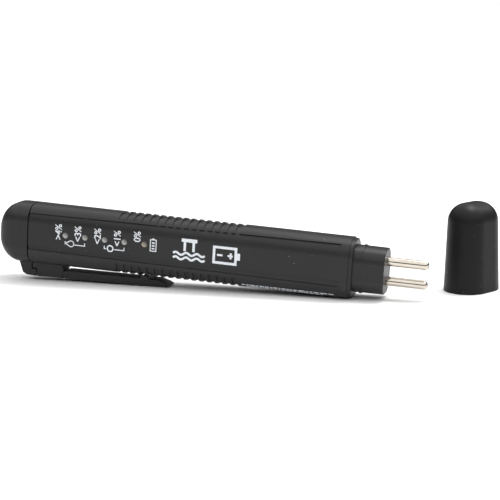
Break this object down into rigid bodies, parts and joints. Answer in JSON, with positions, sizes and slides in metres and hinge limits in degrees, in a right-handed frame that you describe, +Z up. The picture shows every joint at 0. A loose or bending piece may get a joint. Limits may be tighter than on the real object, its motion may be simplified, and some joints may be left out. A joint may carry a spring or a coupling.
{
  "type": "moisture meter",
  "caption": "Pen-type moisture tester with twin probe pins, lamp row, grip grooves, pocket clip, press-in rear cap and push-on probe cap.",
  "frame": {"origin": "middle of the footprint, on the ground the clip tip, the collar and the cap mouth rest on", "axes": "+X toward the probe pins, +Y away from the label face, +Z up"},
  "size_m": [0.1752, 0.0412, 0.031],
  "materials": {
    "shell": "fine satin texture",
    "cap": "smooth satin",
    "inner_plastic": "as moulded",
    "plated_strip": "nickel plated",
    "spring_steel": "bright drawn wire",
    "board": "solder mask",
    "chip": "moulded epoxy",
    "can": "printed sleeve",
    "pin_plate": "polished nickel plate",
    "lead": "insulated wire",
    "lamp": "frosted"
  },
  "bodies": {
    "pen": {"front_shell": "shell", "back_shell": "shell", "clip_base": "shell", "pin_holder": "inner_plastic", "front_contact": "plated_strip", "side_strip": "plated_strip", "circuit_board": "board", "control_chip": "chip", "lamp_resistors": "chip", "capacitor": "can", "battery": "can", "probe_pin_upper": "pin_plate", "probe_pin_lower": "pin_plate", "pin_lead_upper": "lead", "pin_lead_lower": "lead", "lamp_1": "lamp", "lamp_2": "lamp", "lamp_3": "lamp", "lamp_4": "lamp", "lamp_5": "lamp"},
    "rear_button": {"rear_cap": "shell", "battery_plunger": "inner_plastic", "spring_plate": "plated_strip", "battery_spring": "spring_steel"},
    "clip": {"clip_arm": "shell"},
    "probe_cap": {"protective_cap": "cap"}
  },
  "joints": [
    {"name": "rear_cap_slide", "type": "slide", "parent": "pen", "child": "rear_button", "axis": [-0.9983, 0, 0.0581], "range_m": [-0.0003, 0.03]},
    {"name": "clip_flex", "type": "hinge", "parent": "pen", "child": "clip", "pos_m": [-0.06312, -0.01262, 0.00249], "axis": [0, 1, 0], "range_deg": [0, 3], "stiffness_Nm_per_rad": 0.6},
    {"name": "cap_lift", "type": "slide", "parent": "pen", "child": "probe_cap", "axis": [0, 0, 1], "range_m": [0, 0.04]}
  ]
}
